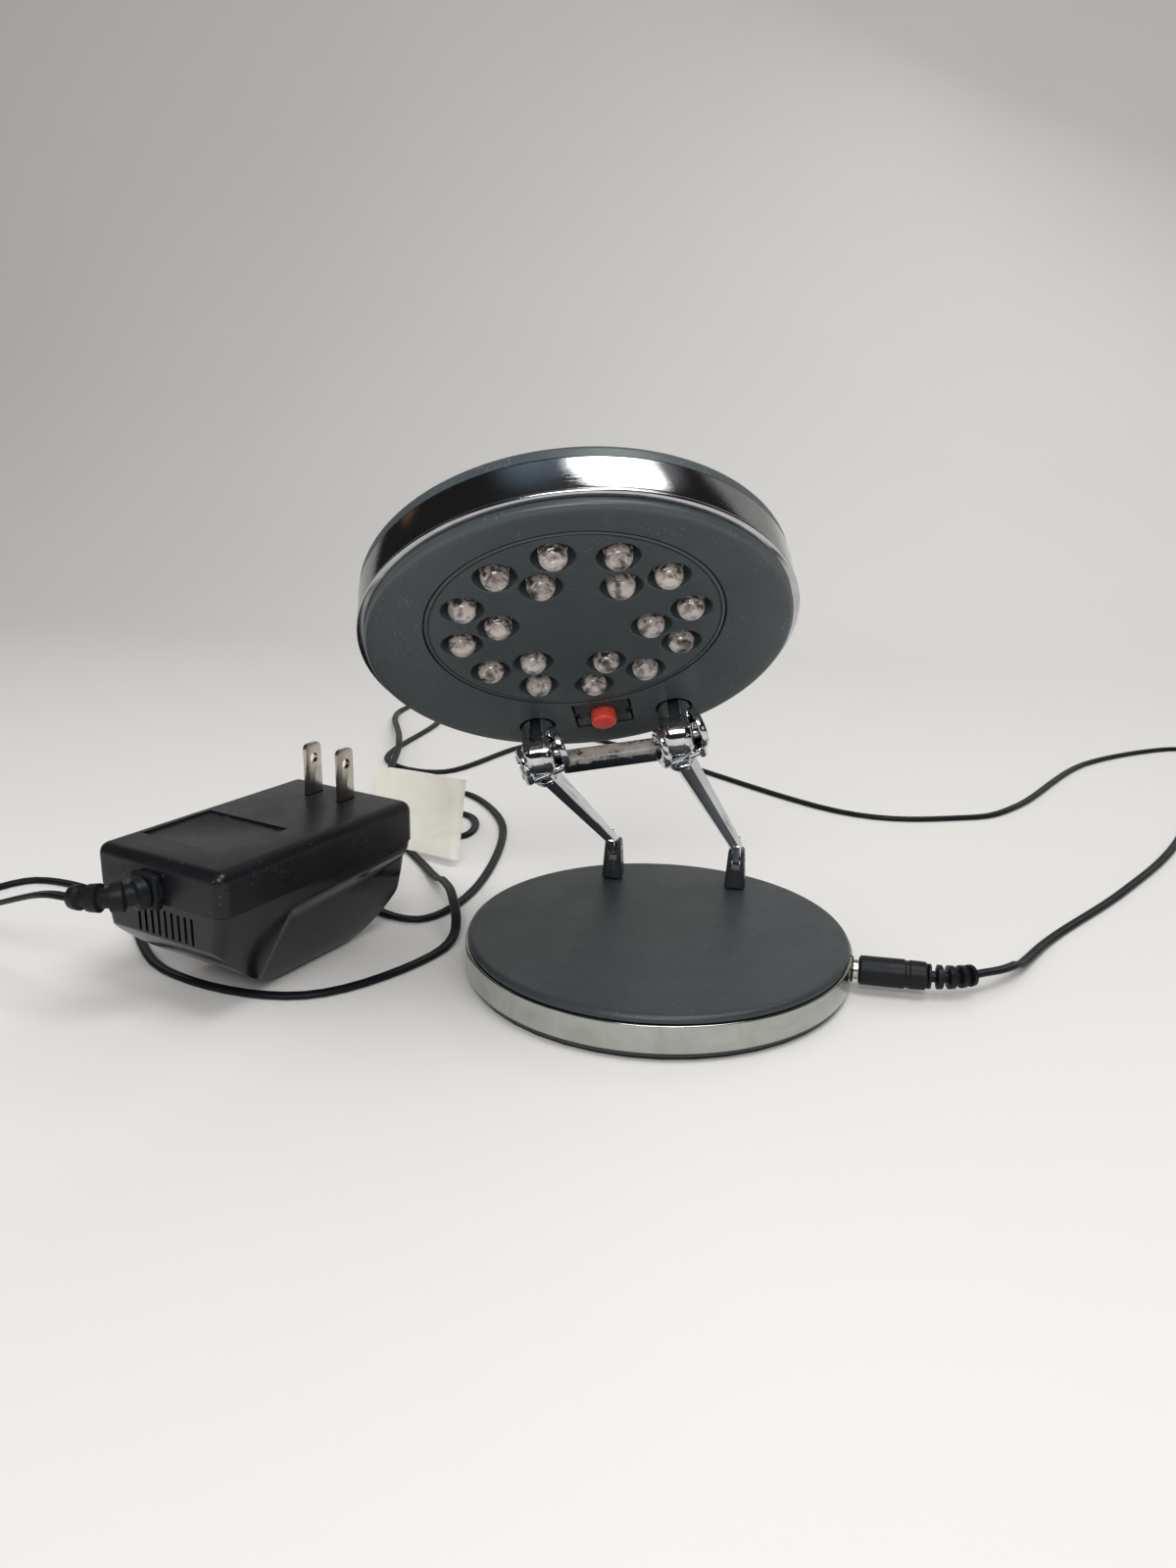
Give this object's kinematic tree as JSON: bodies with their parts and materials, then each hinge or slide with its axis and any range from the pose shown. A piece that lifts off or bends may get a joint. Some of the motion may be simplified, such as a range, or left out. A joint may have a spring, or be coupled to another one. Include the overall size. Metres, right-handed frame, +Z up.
{
  "type": "desk lamp",
  "caption": "Small folding LED desk lamp: round weighted base, two slanted arms with a crossbar, round tilting head, and a twin-lead cord to a two-blade adapter.",
  "frame": {"origin": "centre of the base's foam pad, on the table", "axes": "+X along the lug axis, +Z up, the user sits towards -Y"},
  "size_m": [0.4539, 0.3936, 0.1448],
  "materials": {
    "grey_plastic": "satin moulded",
    "foam": "foam",
    "smoky_chrome": "polished, lightly brushed",
    "steel": "plain",
    "black_metal": "satin",
    "black_plastic": "satin moulded",
    "cord_jacket": "satin",
    "nickel": "nickel plated",
    "label_film": "matt film",
    "circuit_board": "lacquered",
    "red_plastic": "satin",
    "clear_lens": "clear"
  },
  "bodies": {
    "base": {"base_pad": "foam", "base_plate": "grey_plastic", "base_band": "smoky_chrome", "base_cover": "grey_plastic", "base_weight": "steel", "base_screw_1": "steel", "base_screw_2": "steel", "base_screw_3": "steel", "jack_housing": "black_plastic", "lug_left": "black_metal", "lug_right": "black_metal", "lug_pin_left": "steel", "lug_pin_right": "steel", "cord": "cord_jacket", "plug_body": "black_plastic", "plug_barrel": "nickel", "plug_relief": "black_plastic", "adapter_cap": "black_plastic", "adapter_hull": "black_plastic", "adapter_relief": "black_plastic", "blade_left": "nickel", "blade_right": "nickel", "transformer": "steel", "cord_tag": "label_film"},
    "arms": {"arm_left": "smoky_chrome", "arm_right": "smoky_chrome", "crossbar": "smoky_chrome", "hub_pin_left": "steel", "hub_pin_right": "steel"},
    "head": {"bracket_left": "smoky_chrome", "bracket_right": "smoky_chrome", "bracket_screw_left": "steel", "bracket_screw_right": "steel", "head_face": "grey_plastic", "head_band": "smoky_chrome", "head_shell": "grey_plastic", "led_disc": "grey_plastic", "led_board": "circuit_board", "switch_plate": "black_plastic", "switch_body": "black_plastic", "led_01": "clear_lens", "led_02": "clear_lens", "led_03": "clear_lens", "led_04": "clear_lens", "led_05": "clear_lens", "led_06": "clear_lens", "led_07": "clear_lens", "led_08": "clear_lens", "led_09": "clear_lens", "led_10": "clear_lens", "led_11": "clear_lens", "led_12": "clear_lens", "led_13": "clear_lens", "led_14": "clear_lens", "led_15": "clear_lens", "led_16": "clear_lens", "led_17": "clear_lens", "led_18": "clear_lens"},
    "button": {"switch_button": "red_plastic"}
  },
  "joints": [
    {"name": "arm_fold", "type": "hinge", "parent": "base", "child": "arms", "pos_m": [0, 0.0376, 0.0219], "axis": [-1, 0, 0], "range_deg": [-25, 90]},
    {"name": "head_tilt", "type": "hinge", "parent": "arms", "child": "head", "pos_m": [-0.0168, 0.0064, 0.0634], "axis": [0.9756, 0.1319, 0.1754], "range_deg": [-25, 45]},
    {"name": "switch_press", "type": "slide", "parent": "head", "child": "button", "axis": [-0.2189, 0.643, 0.7339], "range_m": [0, 0.0015], "stiffness_N_per_m": 600, "springref_m": -0.0005}
  ]
}
